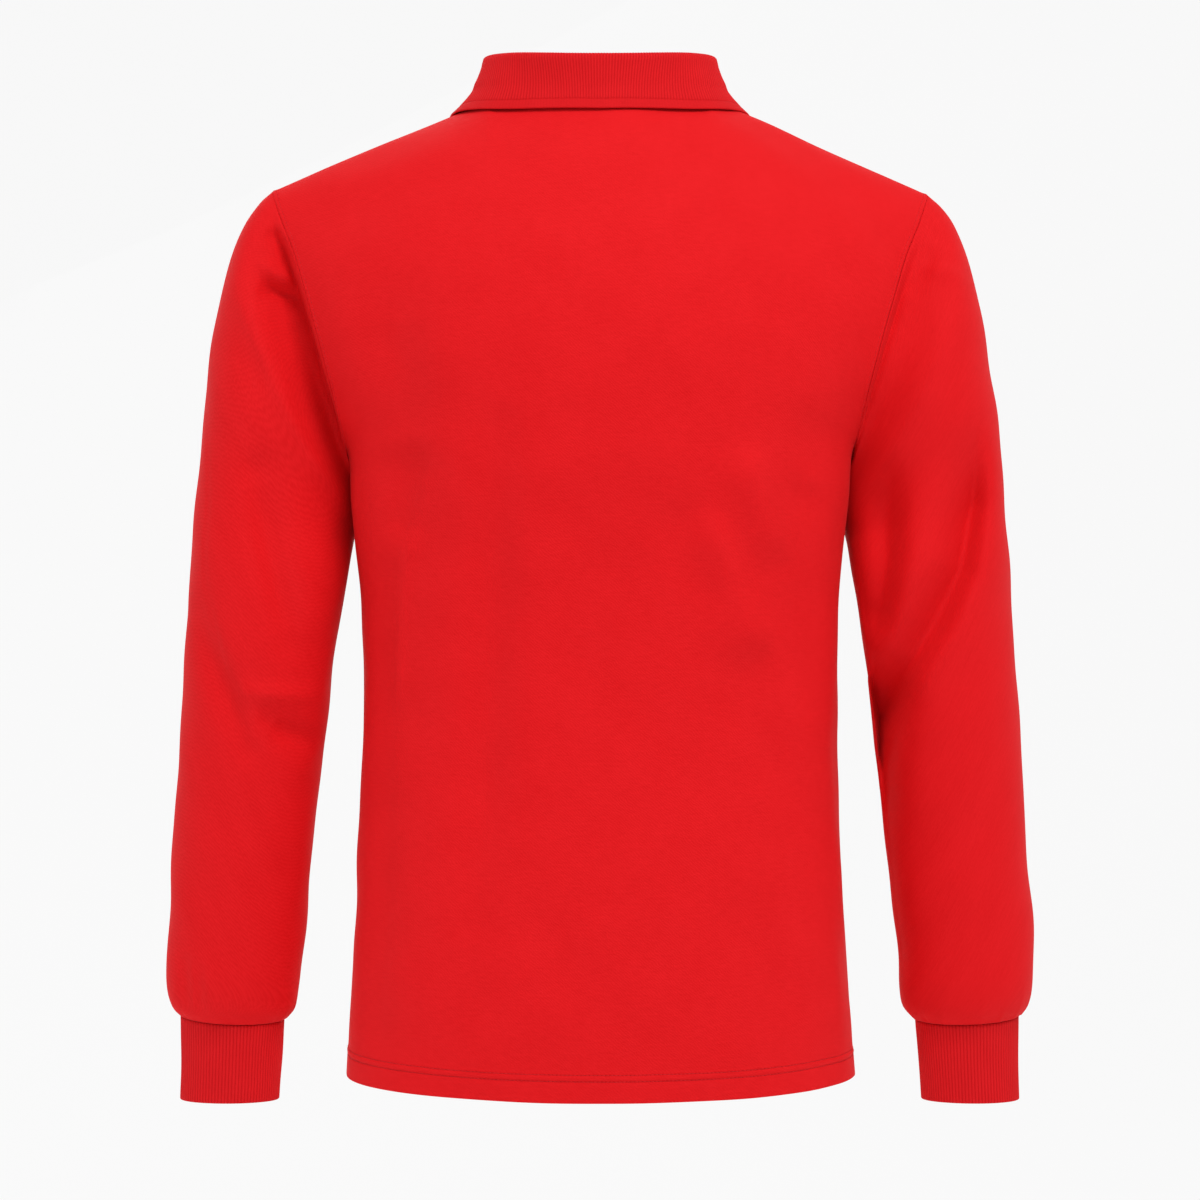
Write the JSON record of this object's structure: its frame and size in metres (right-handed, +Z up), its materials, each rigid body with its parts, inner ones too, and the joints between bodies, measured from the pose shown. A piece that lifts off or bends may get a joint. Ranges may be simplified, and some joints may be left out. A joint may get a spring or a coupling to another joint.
{
  "type": "long-sleeve polo shirt",
  "caption": "Red long-sleeve knit polo shirt, filled out as worn and hollow, with a folded rib collar, buttoned placket and ribbed cuffs.",
  "frame": {"origin": "between the two neck points, where the shoulder seams meet the collar, at the height of those points and in the plane of the side seams", "axes": "+Z up, the shirt's back towards +Y and its front towards -Y, +X towards the wearer's left"},
  "size_m": [0.6286, 0.2674, 0.754],
  "materials": {
    "knit": "matt cotton knit",
    "rib_knit": "matt cotton rib",
    "button": "polished"
  },
  "bodies": {
    "root": {"back_panel": "knit", "front_panel": "knit", "sleeve_left": "knit", "sleeve_right": "knit", "placket_upper_band": "knit", "placket_under_band": "knit", "collar": "rib_knit", "cuff_left": "rib_knit", "cuff_right": "rib_knit", "button_1": "button", "button_2": "button", "button_3": "button"}
  },
  "joints": []
}
